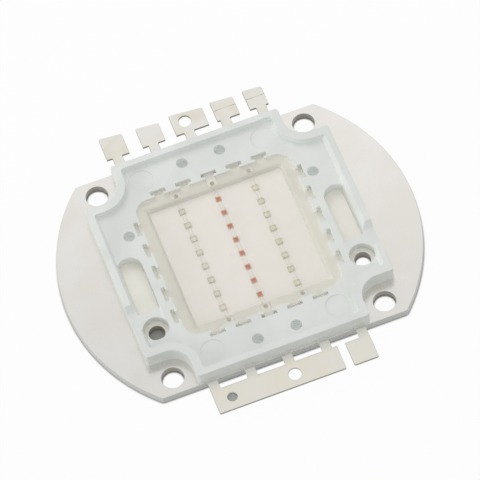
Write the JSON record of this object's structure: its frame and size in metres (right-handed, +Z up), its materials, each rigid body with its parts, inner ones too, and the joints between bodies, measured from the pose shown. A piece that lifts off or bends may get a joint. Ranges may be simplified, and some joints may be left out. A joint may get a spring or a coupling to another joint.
{
  "type": "high-power led",
  "caption": "Chip-on-board colour LED: strings of bare dies under clear silicone in a moulded frame with solder leads, on a round-ended plated copper base with screw holes.",
  "frame": {"origin": "centre of the base plate's underside", "axes": "+Z up out of the lit face; X between the plate's round ends; Y between the two rows of leads, with the separate leads at +Y and the joined bar at -Y"},
  "size_m": [0.056, 0.0524, 0.004],
  "materials": {
    "plated_copper": "bright warm silver plating with fine rolling marks",
    "frame_plastic": "satin moulded white with a cold tint",
    "lead_strip": "bright silver plating, slightly tarnished",
    "blue_die": "polished crystal, blue-grey when unlit",
    "red_die": "polished crystal, orange-red when unlit",
    "green_die": "polished crystal, yellow-green when unlit",
    "gold_wire": "bright drawn gold",
    "silicone": "clear soft filling"
  },
  "bodies": {
    "root": {"base_plate": "plated_copper", "moulded_frame": "frame_plastic", "far_lead_1": "lead_strip", "far_lead_2": "lead_strip", "far_lead_3": "lead_strip", "far_lead_4": "lead_strip", "far_lead_5": "lead_strip", "joined_lead": "lead_strip", "single_lead": "lead_strip", "blue_die_1": "blue_die", "blue_die_2": "blue_die", "blue_die_3": "blue_die", "blue_die_4": "blue_die", "blue_die_5": "blue_die", "blue_die_6": "blue_die", "blue_die_7": "blue_die", "blue_die_8": "blue_die", "red_die_1": "red_die", "red_die_2": "red_die", "red_die_3": "red_die", "red_die_4": "red_die", "red_die_5": "red_die", "red_die_6": "red_die", "red_die_7": "red_die", "red_die_8": "red_die", "green_die_1": "green_die", "green_die_2": "green_die", "green_die_3": "green_die", "green_die_4": "green_die", "green_die_5": "green_die", "green_die_6": "green_die", "green_die_7": "green_die", "green_die_8": "green_die", "blue_bond_wires": "gold_wire", "red_bond_wires": "gold_wire", "green_bond_wires": "gold_wire", "silicone": "silicone"}
  },
  "joints": []
}
